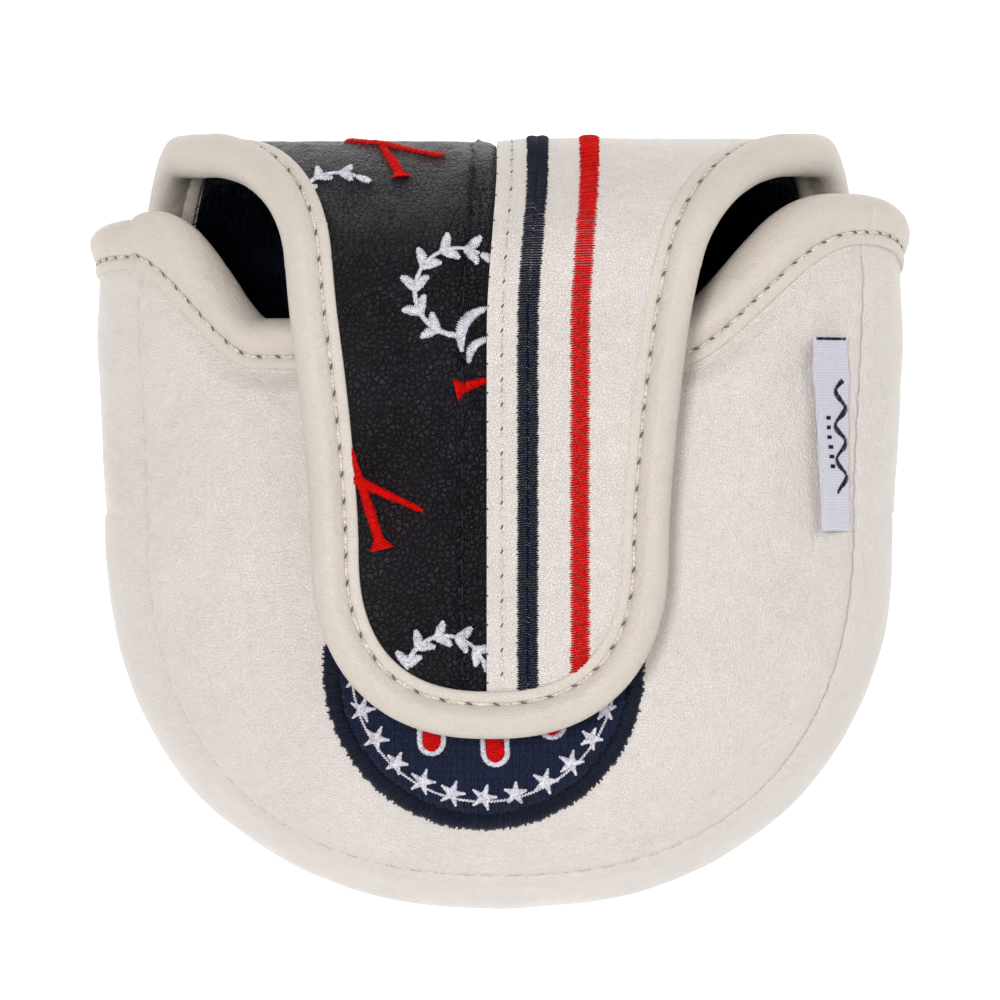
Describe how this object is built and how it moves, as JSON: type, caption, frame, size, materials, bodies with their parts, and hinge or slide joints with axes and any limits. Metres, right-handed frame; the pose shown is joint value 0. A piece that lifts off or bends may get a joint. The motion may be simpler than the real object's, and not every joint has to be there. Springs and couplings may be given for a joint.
{
  "type": "putter head cover",
  "caption": "Padded leather mallet putter head cover: a plush-lined pouch whose back panel folds over the mouth as a magnetic flap.",
  "frame": {"origin": "on the surface the cover lies on, under the middle of the pouch at its widest line", "axes": "+Z out of the front panel, +Y out of the mouth, +X to the right seen from the front"},
  "size_m": [0.1322, 0.1239, 0.0549],
  "materials": {
    "ivory_leather": "fine pebbled ivory leather, low sheen",
    "binding_leather": "soft smooth ivory leather, padded",
    "black_leather": "pebbled near-black leather, satin",
    "foam": "open-cell foam",
    "plush": "dark navy plush",
    "ivory_thread": "twisted polyester thread",
    "black_thread": "twisted polyester thread",
    "navy_thread": "satin-stitch embroidery",
    "red_thread": "satin-stitch embroidery",
    "white_thread": "satin-stitch embroidery",
    "woven_label": "woven satin label",
    "board": "flexible stiffening board",
    "magnet": "nickel-plated magnets"
  },
  "bodies": {
    "shell": {"front_panel": "ivory_leather", "front_foam": "foam", "front_lining": "plush", "gusset": "ivory_leather", "gusset_foam": "foam", "gusset_lining": "plush", "back_panel": "ivory_leather", "back_foam": "foam", "back_lining": "plush", "collar_binding": "binding_leather", "collar_thread": "ivory_thread", "shoulder_binding": "binding_leather", "front_seam_thread": "ivory_thread", "back_seam_thread": "ivory_thread", "side_label": "woven_label", "badge_base": "navy_thread", "badge_border": "navy_thread", "badge_stars": "white_thread", "badge_bars": "red_thread", "badge_bar_outlines": "white_thread", "body_magnets": "magnet", "body_magnet_board": "board"},
    "bridge": {"bridge_black_panel": "black_leather", "bridge_white_panel": "ivory_leather", "bridge_navy_stripe": "navy_thread", "bridge_red_stripe": "red_thread", "bridge_foam": "foam", "bridge_lining": "plush", "bridge_binding": "binding_leather", "bridge_binding_thread": "ivory_thread"},
    "tongue": {"flap_black_panel": "black_leather", "flap_white_panel": "ivory_leather", "flap_navy_stripe": "navy_thread", "flap_red_stripe": "red_thread", "flap_foam": "foam", "flap_board": "board", "flap_lining": "plush", "flap_magnets": "magnet", "flap_binding": "binding_leather", "flap_binding_thread": "ivory_thread", "flap_seam_thread": "ivory_thread", "tee_embroidery": "red_thread", "flourish_embroidery": "white_thread"}
  },
  "joints": [
    {"name": "flap_root", "type": "hinge", "parent": "shell", "child": "bridge", "pos_m": [0, 0.05417, 0.00583], "axis": [-1, 0, 0], "range_deg": [0, 80]},
    {"name": "flap_fold", "type": "hinge", "parent": "bridge", "child": "tongue", "pos_m": [0, 0.05534, 0.04834], "axis": [-1, 0, 0], "range_deg": [0, 100]}
  ]
}
